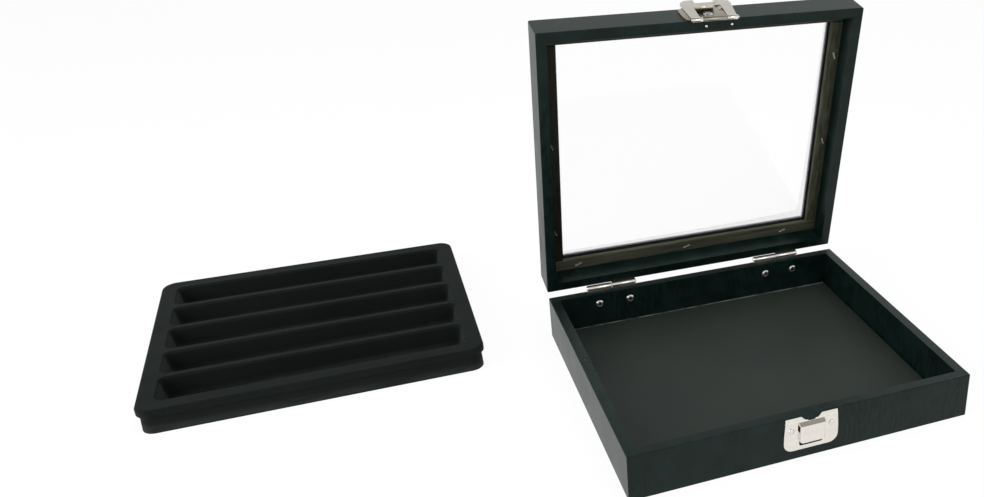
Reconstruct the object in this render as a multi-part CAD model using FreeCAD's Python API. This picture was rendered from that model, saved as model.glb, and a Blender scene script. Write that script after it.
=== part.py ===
import FreeCAD, Part
import math
import os
from FreeCAD import Rotation, Vector

# A glass-topped specimen case of wrapped board, with a hinged lid, a snap hasp and a lift-out tray.
# Millimetres, +X right, -Y front, +Z up. The origin is the centre of the case's underside.
# The lid is modelled shut and then swung open, because that is how its sizes read.

# Driving dimensions of the case
CASE_WIDTH = 210.0
CASE_DEPTH = 184.0
BASE_HEIGHT = 28.6
LID_HEIGHT = 20.0
SEAM_GAP = 1.4
BOARD = 5.6
COVER = 0.4
LID_OPEN_DEG = 80.0

# Base
PANEL_THICKNESS = 3.2
PANEL_REBATE = 3.0
PANEL_PLAY = 0.2
PAD_THICKNESS = 1.6
PAD_PLAY = 0.3
BASE_COVER_BOTTOM = 0.3

# Lid
WINDOW_MARGIN = 15.2
LIP_THICKNESS = 1.6
GLASS_THICKNESS = 2.0
GLASS_PLAY = 0.5
RETAINER_THICKNESS = 2.6
RETAINER_WIDTH = 8.2
RETAINER_PLAY = 0.1
RETAINER_EDGE_RADIUS = 0.9
CORNER_RADIUS = 1.0
TOP_EDGE_RADIUS = 0.8
RIM_EDGE_RADIUS = 0.5

# Wire staples of the retainers: their places along each strip, and how they lie on it
LONG_STAPLE_PLACES = (-72.0, 2.5, 80.5)
SHORT_STAPLE_PLACES = (-54.0, 10.5)
STAPLE_WIRE = 0.8
STAPLE_CROWN = 4.6
STAPLE_LEG = 6.4
STAPLE_LEG_DEG = 27.0
STAPLE_SLANT_DEG = -20.0
STAPLE_PROUD = 0.35
STAPLE_INSET = 3.6

# Hinges: two leaves, one knuckle each, round a headed pin behind the seam
HINGE_CENTRES = (-61.4, 61.1)
HINGE_LENGTH = 33.6
LEAF_THICKNESS = 0.7
KNUCKLE_RADIUS = 1.95
HINGE_PIN_RADIUS = 1.2
HINGE_PIN_PLAY = 0.05
HINGE_PIN_HEAD_RADIUS = 1.75
HINGE_PIN_HEAD = 0.6
KNUCKLE_PLAY = 0.2
LEAF_HEIGHT = 15.0
LEAF_CORNER = 3.0
LEAF_RELIEF = 2.6

# Hinge fastenings
RIVET_SPACING = 21.4
RIVET_DROP = 7.8
RIVET_BARREL_RADIUS = 1.5
RIVET_BORE_RADIUS = 1.0
RIVET_RING_RADIUS = 2.7
RIVET_RING_RISE = 0.6
RIVET_HEAD_RADIUS = 2.4
RIVET_HEAD_RISE = 0.9

# Clasp: a keeper on the base, a plate on the lid, and the hasp between them
CLASP_X = 1.3
KEEPER_X = 0.6
PLATE_THICKNESS = 0.8
PLATE_HALF_WIDTH = 15.9
PLATE_BULGE = 0.8
PLATE_CORNER = 5.5
KEEPER_BOTTOM = 6.5
KEEPER_TOP = 28.0
KEEPER_WAIST_Z = 17.0
KEEPER_CREASE_Z = 25.5
KEEPER_TOP_EDGE = 0.3
NOTCH_HALF_WIDTH = 6.2
NOTCH_DEPTH = 3.2
GROOVE_HEIGHT = 0.4
GROOVE_DEPTH = 0.4
HOOD_HALF_WIDTH = 7.7
HOOD_PROUD = 3.2
HOOD_SHOULDER_Z = 23.2
HOOD_ROOT_Z = 24.6
HOOD_LIP_Z = 12.0
HOOD_SHEET = 0.8
HOOD_LIP_CORNER = 2.4
HOOD_VENT = (18.6, 22.6)
SLOT_BELOW_HOOD_Z = 9.0
SLOT_HALF_WIDTH = 7.3
SLOT_BELOW_HOOD_CORNER = 1.4
BRAD_HEAD_RADIUS = 1.9
BRAD_HEAD_RISE = 0.9
BRAD_SHANK = 1.2
BRAD_LENGTH = 4.6
HEAD_SHOULDER_RISE = 0.55
HEAD_SHOULDER_WIDTH = 0.78
HEAD_TOP_WIDTH = 0.3
KEEPER_BRAD_OFFSET = 12.4
KEEPER_BRAD_Z = 19.9
LID_PLATE_HEIGHT = 19.0
LID_PLATE_GAP = 0.4
LID_RIVET_RADIUS = 3.1
LID_RIVET_UP = 7.4
LID_BRAD_OFFSET = 11.5
LID_BRAD_UP = 13.5
RIM_TACK_OFFSETS = (-3.4, 13.2)
RIM_TACK_INSET = 3.9
RIM_TACK_RADIUS = 0.9
RIM_TACK_RISE = 0.4
HASP_PIN_OUT = 2.6
HASP_PIN_DROP = 4.4
HASP_PIN_RADIUS = 0.75
HASP_PIN_HEAD_RADIUS = 1.15
HASP_PIN_HEAD = 0.5
HASP_BORE_RADIUS = 0.8
HASP_KNUCKLE_RADIUS = 1.4
HASP_HALF_WIDTH = 14.4
HASP_END_HALF_WIDTH = 16.2
HASP_WINDOW_HALF_WIDTH = 8.8
HASP_WINDOW_END = 15.0
HASP_LENGTH = 22.8
HASP_CORNER = 6.0
HASP_SHEET = 0.8
HASP_BAND_HALF_WIDTH = 7.2
HASP_BAND_RISE = 0.8
HASP_BAND_END = 20.0
HASP_GRIP_RISE = 3.8
TONGUE_HALF_WIDTH = 7.6
STRAP_HALF_WIDTH = 6.1
HASP_PIN_END_PLAY = 0.25
HASP_LIFTED_DEG = 173.0

# Insert tray, which drops into the base
TRAY_WIDTH = 195.6
TRAY_DEPTH = 169.6
TRAY_HEIGHT = 16.0
TRAY_PLACE = (-250.0, 150.0)
TRAY_CORNER = 9.0
TRAY_SHEET = 1.2
TRAY_LIP_HEIGHT = 4.6
TRAY_LIP_OUT = 2.0
TRAY_SKIRT_SPLAY = 0.8
TRAY_EDGE_RADIUS = 1.6
TRAY_SLOTS = 5
TRAY_FLOOR = 1.2
SLOT_SIDE_MARGIN = 9.5
SLOT_END_MARGIN = 10.0
SLOT_RIDGE = 3.6
SLOT_DRAFT = 2.2
SLOT_CORNER = 3.4
SLOT_FLARE = 1.2

# Worked out from the dimensions above
HALF_WIDTH = CASE_WIDTH / 2
HALF_DEPTH = CASE_DEPTH / 2
BOARD_HALF_WIDTH = HALF_WIDTH - COVER
BOARD_HALF_DEPTH = HALF_DEPTH - COVER
INNER_HALF_WIDTH = BOARD_HALF_WIDTH - BOARD
INNER_HALF_DEPTH = BOARD_HALF_DEPTH - BOARD
RIM_Z = BASE_HEIGHT + SEAM_GAP
LID_TOP_Z = RIM_Z + LID_HEIGHT
GLASS_TOP_Z = LID_TOP_Z - COVER - LIP_THICKNESS
GLASS_BOTTOM_Z = GLASS_TOP_Z - GLASS_THICKNESS
RETAINER_FACE_Z = GLASS_BOTTOM_Z - RETAINER_THICKNESS
PIN_Y = HALF_DEPTH + KNUCKLE_RADIUS
PIN_Z = BASE_HEIGHT + SEAM_GAP / 2
HASP_Y = -HALF_DEPTH - HASP_PIN_OUT
HASP_Z = RIM_Z - HASP_PIN_DROP
PIN_AXIS = Vector(-1, 0, 0)
SIDE_TURNS = {"front": 0.0, "right": 90.0, "back": 180.0, "left": 270.0}


def box(low, high):
    """Box between two corners."""
    size = [high[i] - low[i] for i in range(3)]
    return Part.makeBox(size[0], size[1], size[2], Vector(*low))


def rounded_plate(half_x, half_y, corner, low_z, high_z):
    """Upright block with rounded corners."""
    block = box((-half_x, -half_y, low_z), (half_x, half_y, high_z))
    upright = [e for e in block.Edges if abs(e.tangentAt(e.FirstParameter).z) > 0.9]
    return block.makeFillet(corner, upright)


def frame_ring(half_x, half_y, wall, low_z, high_z):
    """Upright rectangular tube."""
    outer = box((-half_x, -half_y, low_z), (half_x, half_y, high_z))
    inner = box((wall - half_x, wall - half_y, low_z - 1), (half_x - wall, half_y - wall, high_z + 1))
    return outer.cut(inner)


def polygon_face(points):
    """Flat face through a closed list of points."""
    corners = [Vector(*p) for p in points]
    return Part.Face(Part.makePolygon(corners + corners[:1]))


def profile_along_x(profile, low_x, high_x):
    """Solid of a (y, z) outline run along X."""
    face = polygon_face([(low_x, y, z) for y, z in profile])
    return face.extrude(Vector(high_x - low_x, 0, 0))


def tube_along_x(radius, low_x, high_x, y, z):
    """Round bar along X."""
    return Part.makeCylinder(radius, high_x - low_x, Vector(low_x, y, z), Vector(1, 0, 0))


def fuse_all(shapes):
    """One solid from overlapping or touching solids."""
    whole = shapes[0].multiFuse(shapes[1:]) if len(shapes) > 1 else shapes[0]
    return whole.removeSplitter()


def edges_at(shape, test):
    """Edges whose two ends both pass a test on their position."""
    return [e for e in shape.Edges if all(test(v.Point) for v in e.Vertexes)]


def opened(shape):
    """A lid piece swung from shut to the angle that the lid stands at."""
    turned = shape.copy()
    turned.rotate(Vector(0, PIN_Y, PIN_Z), PIN_AXIS, LID_OPEN_DEG)
    return turned


def lifted(shape):
    """A hasp piece turned up from the keeper, on to the shut lid's front."""
    turned = shape.copy()
    turned.rotate(Vector(0, HASP_Y, HASP_Z), PIN_AXIS, HASP_LIFTED_DEG)
    return turned


def turned_to_side(shape, side):
    """A piece drawn for the front, turned to another side of the case."""
    turned = shape.copy()
    turned.rotate(Vector(0, 0, 0), Vector(0, 0, 1), SIDE_TURNS[side])
    return turned


def half_sizes(side, half_x, half_y):
    """Half length of a side, and its distance from the middle."""
    return (half_x, half_y) if side in ("front", "back") else (half_y, half_x)


def mitred_board(profile, side):
    """Board of an (inward, z) outline, mitred at 45 degrees into its neighbours."""
    half_length, distance = half_sizes(side, BOARD_HALF_WIDTH, BOARD_HALF_DEPTH)
    reach = max(u for u, _ in profile)
    low_z = min(z for _, z in profile)
    high_z = max(z for _, z in profile)
    plain = profile_along_x([(u - distance, z) for u, z in profile], -half_length, half_length)
    plan = polygon_face([
        (-half_length, -distance, low_z),
        (half_length, -distance, low_z),
        (half_length - reach, reach - distance, low_z),
        (reach - half_length, reach - distance, low_z),
    ])
    return turned_to_side(plain.common(plan.extrude(Vector(0, 0, high_z - low_z))), side)


def rivet_places():
    """X of every hinge fastening."""
    return [x + s * RIVET_SPACING / 2 for x in HINGE_CENTRES for s in (-1, 1)]


def rivet_holes():
    """Bars that bore the four rivet holes through the base's back."""
    start = HALF_DEPTH + LEAF_THICKNESS + 1
    depth = start - INNER_HALF_DEPTH + 2
    z = BASE_HEIGHT - RIVET_DROP
    return [Part.makeCylinder(RIVET_BARREL_RADIUS, depth, Vector(x, start, z), Vector(0, -1, 0))
            for x in rivet_places()]


def base_wall(side):
    """Base board with a rebate below for the bottom panel."""
    top = BASE_HEIGHT - COVER
    profile = [
        (0, 0),
        (BOARD - PANEL_REBATE, 0),
        (BOARD - PANEL_REBATE, PANEL_THICKNESS),
        (BOARD, PANEL_THICKNESS),
        (BOARD, top),
        (0, top),
    ]
    board = mitred_board(profile, side)
    return board.cut(rivet_holes()) if side == "back" else board


def bottom_panel():
    """Panel set into the rebates, flush with the underside."""
    half_x = INNER_HALF_WIDTH + PANEL_REBATE - PANEL_PLAY
    half_y = INNER_HALF_DEPTH + PANEL_REBATE - PANEL_PLAY
    return box((-half_x, -half_y, 0), (half_x, half_y, PANEL_THICKNESS))


def floor_pad():
    """Smooth padded board on the case's floor, with softened upper edges."""
    half_x = INNER_HALF_WIDTH - COVER - PAD_PLAY
    half_y = INNER_HALF_DEPTH - COVER - PAD_PLAY
    top = PANEL_THICKNESS + PAD_THICKNESS
    pad = box((-half_x, -half_y, PANEL_THICKNESS), (half_x, half_y, top))
    return pad.makeFillet(PAD_THICKNESS / 2, edges_at(pad, lambda p: p.z > top - 0.01))


def wrapped_block(low_z, high_z, top_radius, bottom_radius):
    """Solid block of the case's outer size, with the softened edges that its covering shows."""
    block = rounded_plate(HALF_WIDTH, HALF_DEPTH, CORNER_RADIUS, low_z, high_z)
    if top_radius > 0:
        block = block.makeFillet(top_radius, edges_at(block, lambda p: p.z > high_z - 0.01))
    if bottom_radius > 0:
        block = block.makeFillet(bottom_radius, edges_at(block, lambda p: p.z < low_z + 0.01))
    return block


def base_covering():
    """Grained cloth over the base: outside, turned over the rim and down the inner walls."""
    block = wrapped_block(BASE_COVER_BOTTOM, BASE_HEIGHT, RIM_EDGE_RADIUS, 0)
    boards = frame_ring(BOARD_HALF_WIDTH, BOARD_HALF_DEPTH, BOARD, -1, BASE_HEIGHT - COVER)
    half_x = INNER_HALF_WIDTH - COVER
    half_y = INNER_HALF_DEPTH - COVER
    inside = box((-half_x, -half_y, -1), (half_x, half_y, BASE_HEIGHT + 1))
    below = box((-INNER_HALF_WIDTH - 1, -INNER_HALF_DEPTH - 1, -1),
                (INNER_HALF_WIDTH + 1, INNER_HALF_DEPTH + 1, PANEL_THICKNESS))
    return block.cut([boards, inside, below] + rivet_holes())


def lid_rail(side):
    """Lid moulding of L section: an upright, with a lip over the glass."""
    reach = WINDOW_MARGIN - 2 * COVER
    low = RIM_Z + COVER
    high = LID_TOP_Z - COVER
    profile = [(0, low), (BOARD, low), (BOARD, GLASS_TOP_Z), (reach, GLASS_TOP_Z), (reach, high), (0, high)]
    return mitred_board(profile, side)


def lid_covering():
    """Grained cloth over the lid: outside, top, window edge, rim and inner faces."""
    block = wrapped_block(RIM_Z, LID_TOP_Z, TOP_EDGE_RADIUS, RIM_EDGE_RADIUS)
    boards = frame_ring(BOARD_HALF_WIDTH, BOARD_HALF_DEPTH, BOARD, RIM_Z + COVER, LID_TOP_Z - COVER)
    window_x = HALF_WIDTH - WINDOW_MARGIN
    window_y = HALF_DEPTH - WINDOW_MARGIN
    lips = box((-INNER_HALF_WIDTH - 1, -INNER_HALF_DEPTH - 1, GLASS_TOP_Z),
               (INNER_HALF_WIDTH + 1, INNER_HALF_DEPTH + 1, LID_TOP_Z - COVER))
    lips = lips.cut(box((-window_x - COVER, -window_y - COVER, RIM_Z), (window_x + COVER, window_y + COVER, LID_TOP_Z)))
    window = box((-window_x, -window_y, RIM_Z - 1), (window_x, window_y, LID_TOP_Z + 1))
    half_x = INNER_HALF_WIDTH - COVER
    half_y = INNER_HALF_DEPTH - COVER
    inside = box((-half_x, -half_y, RIM_Z - 1), (half_x, half_y, RETAINER_FACE_Z))
    glazing = box((-INNER_HALF_WIDTH, -INNER_HALF_DEPTH, RETAINER_FACE_Z),
                  (INNER_HALF_WIDTH, INNER_HALF_DEPTH, GLASS_TOP_Z))
    return block.cut([boards, lips, window, inside, glazing])


def window_glass():
    """Pane that lies against the lip."""
    half_x = INNER_HALF_WIDTH - GLASS_PLAY
    half_y = INNER_HALF_DEPTH - GLASS_PLAY
    return box((-half_x, -half_y, GLASS_BOTTOM_Z), (half_x, half_y, GLASS_TOP_Z))


def retainer(side):
    """Strip that holds the glass, with its inner edge rounded; the side strips butt between the long ones."""
    half_length, distance = half_sizes(side, INNER_HALF_WIDTH, INNER_HALF_DEPTH)
    if side in ("left", "right"):
        half_length -= RETAINER_WIDTH + RETAINER_PLAY
    outer = -distance + RETAINER_PLAY
    inner = outer + RETAINER_WIDTH - RETAINER_PLAY
    strip = box((RETAINER_PLAY - half_length, outer, RETAINER_FACE_Z),
                (half_length - RETAINER_PLAY, inner, GLASS_BOTTOM_Z))
    rounded = edges_at(strip, lambda p: p.z < RETAINER_FACE_Z + 0.01 and p.y > inner - 0.01)
    return turned_to_side(strip.makeFillet(RETAINER_EDGE_RADIUS, rounded), side)


def retainer_staples(side):
    """Staples through a strip: each crown lies aslant on its face, and both legs lean into the rail."""
    _, distance = half_sizes(side, INNER_HALF_WIDTH, INNER_HALF_DEPTH)
    places = LONG_STAPLE_PLACES if side in ("front", "back") else SHORT_STAPLE_PLACES
    wire = STAPLE_WIRE / 2
    reach = STAPLE_CROWN / 2
    crown = box((-reach, -wire, -STAPLE_PROUD), (reach, wire, STAPLE_WIRE - STAPLE_PROUD))
    leg = box((-wire, -wire, -wire), (wire, wire, STAPLE_LEG))
    leg.rotate(Vector(0, 0, 0), Vector(1, 0, 0), 90 - STAPLE_LEG_DEG)
    turn = Rotation(Vector(0, 0, 1), STAPLE_SLANT_DEG)
    staples = []
    for place in places:
        lain = crown.copy()
        lain.rotate(Vector(0, 0, 0), Vector(0, 0, 1), STAPLE_SLANT_DEG)
        legs = []
        for end in (-1, 1):
            shape = leg.copy()
            shape.translate(turn.multVec(Vector(end * (reach - wire), 0, wire - STAPLE_PROUD)))
            legs.append(shape)
        staple = fuse_all([lain] + legs)
        staple.translate(Vector(place, STAPLE_INSET - distance, RETAINER_FACE_Z))
        staples.append(turned_to_side(staple, side))
    return staples


def leaf_outline(centre, low_z, high_z):
    """Flat hinge leaf on the case's back, rounded at its free corners."""
    leaf = box((centre - HINGE_LENGTH / 2, HALF_DEPTH, low_z),
               (centre + HINGE_LENGTH / 2, HALF_DEPTH + LEAF_THICKNESS, high_z))
    free_z = low_z if high_z <= PIN_Z else high_z
    corners = [e for e in leaf.Edges
               if abs(e.tangentAt(e.FirstParameter).y) > 0.9 and abs(e.Vertexes[0].Z - free_z) < 0.01]
    return leaf.makeFillet(LEAF_CORNER, corners)


def knuckle(low_x, high_x, bore):
    """Rolled eye of a hinge leaf round the pin."""
    eye = tube_along_x(KNUCKLE_RADIUS, low_x, high_x, PIN_Y, PIN_Z)
    return eye.cut(tube_along_x(bore, low_x - 1, high_x + 1, PIN_Y, PIN_Z))


def hinge_base_leaf(centre):
    """Base leaf: its knuckle is the left half, cut back under the lid's knuckle."""
    low_x = centre - HINGE_LENGTH / 2
    flat = leaf_outline(centre, PIN_Z - LEAF_HEIGHT, PIN_Z)
    relief = box((centre - KNUCKLE_PLAY, HALF_DEPTH - 1, PIN_Z - LEAF_RELIEF),
                 (centre + HINGE_LENGTH, HALF_DEPTH + 2, PIN_Z + 1))
    bore = tube_along_x(HINGE_PIN_RADIUS, low_x - 1, centre + 1, PIN_Y, PIN_Z)
    eye = knuckle(low_x, centre - KNUCKLE_PLAY, HINGE_PIN_RADIUS)
    leaf = fuse_all([flat.cut(relief), eye]).cut(bore)
    return leaf.cut(rivet_holes())


def hinge_lid_leaf(centre):
    """Lid leaf: its knuckle is the right half, free to turn on the pin."""
    high_x = centre + HINGE_LENGTH / 2
    flat = leaf_outline(centre, PIN_Z, PIN_Z + LEAF_HEIGHT)
    relief = box((centre - HINGE_LENGTH, HALF_DEPTH - 1, PIN_Z - 1),
                 (centre + KNUCKLE_PLAY, HALF_DEPTH + 2, PIN_Z + LEAF_RELIEF))
    radius = HINGE_PIN_RADIUS + HINGE_PIN_PLAY
    bore = tube_along_x(radius, centre - 1, high_x + 1, PIN_Y, PIN_Z)
    eye = knuckle(centre + KNUCKLE_PLAY, high_x, radius)
    return fuse_all([flat.cut(relief), eye]).cut(bore)


def hinge_pin(centre):
    """Pin with a small peened head at each end of the barrel."""
    low_x = centre - HINGE_LENGTH / 2
    high_x = centre + HINGE_LENGTH / 2
    shank = tube_along_x(HINGE_PIN_RADIUS, low_x - HINGE_PIN_HEAD, high_x + HINGE_PIN_PLAY, PIN_Y, PIN_Z)
    left = Part.makeCone(HINGE_PIN_RADIUS, HINGE_PIN_HEAD_RADIUS, HINGE_PIN_HEAD,
                         Vector(low_x - HINGE_PIN_HEAD, PIN_Y, PIN_Z), Vector(1, 0, 0))
    right = Part.makeCone(HINGE_PIN_HEAD_RADIUS, HINGE_PIN_RADIUS, HINGE_PIN_HEAD,
                          Vector(high_x + HINGE_PIN_PLAY, PIN_Y, PIN_Z), Vector(1, 0, 0))
    return fuse_all([shank, left, right])


def domed_head(radius, rise, place, direction):
    """Low head that sits on a face at place and swells along direction, in two steps of slope."""
    shoulder = HEAD_SHOULDER_RISE * rise
    shoulder_radius = HEAD_SHOULDER_WIDTH * radius
    lower = Part.makeCone(radius, shoulder_radius, shoulder, place, direction)
    upper = Part.makeCone(shoulder_radius, HEAD_TOP_WIDTH * radius, rise - shoulder,
                          place + direction * shoulder, direction)
    return lower.fuse(upper).removeSplitter()


def tubular_rivet(x):
    """Rivet through the back wall: domed outside, rolled into a ring inside."""
    z = BASE_HEIGHT - RIVET_DROP
    outside = HALF_DEPTH + LEAF_THICKNESS
    inside = INNER_HALF_DEPTH - COVER
    inward = Vector(0, -1, 0)
    barrel = Part.makeCylinder(RIVET_BARREL_RADIUS, outside - inside + RIVET_RING_RISE / 2,
                               Vector(x, outside, z), inward)
    head = domed_head(RIVET_HEAD_RADIUS, RIVET_HEAD_RISE, Vector(x, outside, z), Vector(0, 1, 0))
    ring = Part.makeCone(RIVET_RING_RADIUS, 0.72 * RIVET_RING_RADIUS, RIVET_RING_RISE, Vector(x, inside, z), inward)
    bore = Part.makeCylinder(RIVET_BORE_RADIUS, BOARD, Vector(x, inside - RIVET_RING_RISE, z), Vector(0, 1, 0))
    return fuse_all([barrel, head, ring]).cut(bore)


def brad_shank(place, outward):
    """Square shank of a brad, from its head's face into the board."""
    half = BRAD_SHANK / 2
    ends = sorted([place.y, place.y - outward.y * BRAD_LENGTH])
    return box((place.x - half, ends[0], place.z - half), (place.x + half, ends[1], place.z + half))


def brad(place, outward, radius=BRAD_HEAD_RADIUS):
    """Cut brad: its low head on a plate, its square shank in the board."""
    head = domed_head(radius, BRAD_HEAD_RISE, place, outward)
    return head.fuse(brad_shank(place, outward)).removeSplitter()


def brad_holes(places, outward):
    """Bars that clear the brads' shanks from the plates and boards."""
    return [brad_shank(p, outward) for p in places]


def lid_hinge_brad_places():
    """Heads of the lid's hinge brads, on the outer face of the leaves."""
    y = HALF_DEPTH + LEAF_THICKNESS
    z = RIM_Z + RIVET_DROP
    return [Vector(x, y, z) for x in rivet_places()]


def keeper_brad_places():
    """Heads of the keeper's two brads."""
    y = -HALF_DEPTH - PLATE_THICKNESS
    return [Vector(KEEPER_X + s * KEEPER_BRAD_OFFSET, y, KEEPER_BRAD_Z) for s in (-1, 1)]


def lid_plate_brad_places():
    """Heads of the lid plate's brads: one low in the middle, two high at the sides."""
    y = -HALF_DEPTH - PLATE_THICKNESS
    low = Vector(CLASP_X, y, RIM_Z + LID_RIVET_UP)
    high = [Vector(CLASP_X + s * LID_BRAD_OFFSET, y, RIM_Z + LID_BRAD_UP) for s in (-1, 1)]
    return [low] + high


def plate_face(centre, half_width, low_z, high_z, low_corner, high_corner):
    """Clasp plate outline on the front face, with its own corner radius below and above."""
    plate = box((centre - half_width, -HALF_DEPTH - PLATE_THICKNESS, low_z),
                (centre + half_width, -HALF_DEPTH, high_z))
    for z, radius in ((low_z, low_corner), (high_z, high_corner)):
        corners = edges_at(plate, lambda p: abs(p.z - z) < 0.01)
        corners = [e for e in corners if abs(e.tangentAt(e.FirstParameter).y) > 0.9]
        plate = plate.makeFillet(radius, corners)
    return plate


def keeper_hood():
    """Hood lanced from the keeper: sloped shoulder, slits at its sides, open below for the hasp."""
    face_y = -HALF_DEPTH
    root = face_y - PLATE_THICKNESS
    front = face_y - HOOD_PROUD
    low_x = KEEPER_X - HOOD_HALF_WIDTH
    high_x = KEEPER_X + HOOD_HALF_WIDTH
    outer = [(face_y, HOOD_ROOT_Z), (root, HOOD_ROOT_Z), (front, HOOD_SHOULDER_Z), (front, HOOD_LIP_Z),
             (face_y, HOOD_LIP_Z)]
    inner = [(face_y + 1, HOOD_ROOT_Z - 1.5 * HOOD_SHEET), (root, HOOD_ROOT_Z - 1.5 * HOOD_SHEET),
             (front + HOOD_SHEET, HOOD_SHOULDER_Z - HOOD_SHEET), (front + HOOD_SHEET, HOOD_LIP_Z - 1),
             (face_y + 1, HOOD_LIP_Z - 1)]
    solid = profile_along_x(outer, low_x, high_x)
    uprights = edges_at(solid, lambda p: p.y < front + 0.01)
    uprights = [e for e in uprights if abs(e.tangentAt(e.FirstParameter).z) > 0.9]
    solid = solid.makeFillet(HOOD_SHEET * 1.2, uprights)
    window = box((low_x - 1, front - 1, HOOD_LIP_Z), (high_x + 1, face_y + 1, HOOD_ROOT_Z + 1))
    corners = [e for e in window.Edges if abs(e.tangentAt(e.FirstParameter).y) > 0.9
               and abs(e.Vertexes[0].Z - HOOD_LIP_Z) < 0.01]
    rounded = window.makeFillet(HOOD_LIP_CORNER + 1, corners)
    hollow = profile_along_x(inner, low_x + HOOD_SHEET, high_x - HOOD_SHEET)
    vent_low, vent_high = HOOD_VENT
    vent = profile_along_x([(root, vent_low), (root, vent_high), (front + HOOD_SHEET * 1.2, vent_high),
                            (front + HOOD_SHEET * 1.2, vent_low)], low_x - 1, high_x + 1)
    return solid.common(rounded), hollow.fuse(vent)


def keeper_slot():
    """Slot under the hood, with round ends below, where the hood's metal came from."""
    slot = box((KEEPER_X - SLOT_HALF_WIDTH, -HALF_DEPTH - PLATE_THICKNESS - 1, SLOT_BELOW_HOOD_Z),
               (KEEPER_X + SLOT_HALF_WIDTH, 1 - HALF_DEPTH, HOOD_LIP_Z + HOOD_LIP_CORNER))
    corners = [e for e in slot.Edges if abs(e.tangentAt(e.FirstParameter).y) > 0.9
               and abs(e.Vertexes[0].Z - SLOT_BELOW_HOOD_Z) < 0.01]
    return slot.makeFillet(SLOT_BELOW_HOOD_CORNER, corners)


def keeper_plate():
    """Keeper on the base's front: creased back at the top each side of a notch, with the lanced hood."""
    waist = PLATE_HALF_WIDTH + PLATE_BULGE
    plate = plate_face(KEEPER_X, waist, KEEPER_BOTTOM, KEEPER_TOP, PLATE_CORNER, PLATE_BULGE)
    for sign in (-1, 1):
        side = [(KEEPER_X + sign * waist, KEEPER_WAIST_Z), (KEEPER_X + sign * (waist + 1), KEEPER_WAIST_Z),
                (KEEPER_X + sign * (waist + 1), KEEPER_TOP + 1), (KEEPER_X + sign * PLATE_HALF_WIDTH, KEEPER_TOP + 1)]
        trim = polygon_face([(x, 1 - HALF_DEPTH, z) for x, z in side])
        plate = plate.cut(trim.extrude(Vector(0, -PLATE_THICKNESS - 2, 0)))
    face_y = -HALF_DEPTH
    lean = [(face_y - PLATE_THICKNESS, KEEPER_CREASE_Z), (face_y - KEEPER_TOP_EDGE, KEEPER_TOP),
            (face_y - KEEPER_TOP_EDGE, KEEPER_TOP + 1), (face_y - PLATE_THICKNESS - 1, KEEPER_TOP + 1),
            (face_y - PLATE_THICKNESS - 1, KEEPER_CREASE_Z)]
    radius = (NOTCH_HALF_WIDTH ** 2 + NOTCH_DEPTH ** 2) / (2 * NOTCH_DEPTH)
    notch = Part.makeCylinder(radius, 10, Vector(KEEPER_X, 5 - HALF_DEPTH, KEEPER_TOP - NOTCH_DEPTH + radius),
                              Vector(0, -1, 0))
    hood, hollow = keeper_hood()
    groove = box((KEEPER_X - 2 * waist, face_y - PLATE_THICKNESS - 1, KEEPER_CREASE_Z - GROOVE_HEIGHT),
                 (KEEPER_X + 2 * waist, face_y - PLATE_THICKNESS + GROOVE_DEPTH, KEEPER_CREASE_Z))
    leaning = profile_along_x(lean, KEEPER_X - 2 * waist, KEEPER_X + 2 * waist)
    plate = plate.cut([leaning, groove, notch, keeper_slot()])
    body = fuse_all([plate, hood]).cut(hollow)
    return body.cut(brad_holes(keeper_brad_places(), Vector(0, -1, 0)))


def hasp_tongue():
    """Middle of the lid plate, carried below the rim and rolled round the hasp's pin."""
    low_x = CLASP_X - TONGUE_HALF_WIDTH
    high_x = CLASP_X + TONGUE_HALF_WIDTH
    face_y = -HALF_DEPTH
    lean = [
        (face_y, RIM_Z + 1),
        (face_y, RIM_Z - 0.1),
        (HASP_Y + 0.5, HASP_Z + HASP_KNUCKLE_RADIUS * 0.6),
        (HASP_Y - 0.2, HASP_Z + HASP_KNUCKLE_RADIUS * 0.95),
        (face_y - PLATE_THICKNESS, RIM_Z + 0.5),
        (face_y - PLATE_THICKNESS, RIM_Z + 1),
    ]
    strap = profile_along_x(lean, CLASP_X - STRAP_HALF_WIDTH, CLASP_X + STRAP_HALF_WIDTH)
    eye = tube_along_x(HASP_KNUCKLE_RADIUS, low_x, high_x, HASP_Y, HASP_Z)
    return [strap, eye]


def lid_clasp_plate():
    """Plate on the lid's front, and the tongue that carries the pin below the rim."""
    waist = PLATE_HALF_WIDTH + PLATE_BULGE
    plate = plate_face(CLASP_X, waist, RIM_Z + LID_PLATE_GAP, RIM_Z + LID_PLATE_HEIGHT, PLATE_CORNER, PLATE_CORNER)
    body = fuse_all([plate] + hasp_tongue())
    bore = tube_along_x(HASP_PIN_RADIUS, CLASP_X - waist, CLASP_X + waist, HASP_Y, HASP_Z)
    body = body.cut(bore)
    return body.cut(brad_holes(lid_plate_brad_places(), Vector(0, -1, 0)))


def rim_tack_shanks():
    """Square shanks of the two tacks in the lid's rim, behind the clasp."""
    half = BRAD_SHANK / 2
    y = RIM_TACK_INSET - HALF_DEPTH
    return [box((CLASP_X + x - half, y - half, RIM_Z), (CLASP_X + x + half, y + half, RIM_Z + BRAD_LENGTH))
            for x in RIM_TACK_OFFSETS]


def rim_tacks():
    """Two small tacks in the lid's rim, behind the clasp, whose low heads stand in the seam."""
    y = RIM_TACK_INSET - HALF_DEPTH
    heads = [domed_head(RIM_TACK_RADIUS, RIM_TACK_RISE, Vector(CLASP_X + x, y, RIM_Z), Vector(0, 0, -1))
             for x in RIM_TACK_OFFSETS]
    return [head.fuse(shank).removeSplitter() for head, shank in zip(heads, rim_tack_shanks())]


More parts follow.
